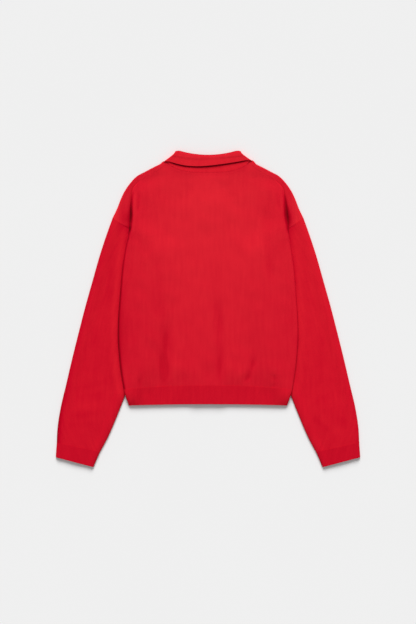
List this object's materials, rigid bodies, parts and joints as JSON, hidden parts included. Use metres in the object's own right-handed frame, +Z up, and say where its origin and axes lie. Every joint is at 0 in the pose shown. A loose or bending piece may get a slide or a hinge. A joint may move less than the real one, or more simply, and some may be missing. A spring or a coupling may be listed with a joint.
{
  "type": "zip sweater",
  "caption": "Knitted zip sweater with a folded collar, dropped shoulders, long sleeves and ribbed cuffs and hem, laid flat with its back up and the zip beneath.",
  "frame": {"origin": "on the surface that the sweater lies on, under the middle of its bounding box", "axes": "+Z up, out of the back panel; +Y towards the collar; +X to the right seen from above, the wearer's right sleeve"},
  "size_m": [0.7472, 0.7752, 0.0118],
  "materials": {
    "body_knit": "fine matte red flat knit",
    "sleeve_knit": "fine matte red flat knit",
    "rib_knit": "matte red rib knit",
    "collar_knit": "firm matte red knit",
    "zip_tape": "woven red tape",
    "zip_metal": "polished nickel plate"
  },
  "bodies": {
    "garment": {"back": "body_knit", "front_left": "body_knit", "front_right": "body_knit", "sleeve_left": "sleeve_knit", "sleeve_right": "sleeve_knit", "cuff_left": "rib_knit", "cuff_right": "rib_knit", "hem_rib_back": "rib_knit", "hem_rib_front_left": "rib_knit", "hem_rib_front_right": "rib_knit", "collar": "collar_knit", "zip_tape_left": "zip_tape", "zip_tape_right": "zip_tape", "zip_box": "zip_metal", "zip_slider": "zip_metal"},
    "pull_tab": {"zip_pull_tab": "zip_metal"}
  },
  "joints": [
    {"name": "pull_tab_swing", "type": "hinge", "parent": "garment", "child": "pull_tab", "pos_m": [0, 0.2495, 0.0023], "axis": [1, 0, 0], "range_deg": [0, 170]}
  ]
}
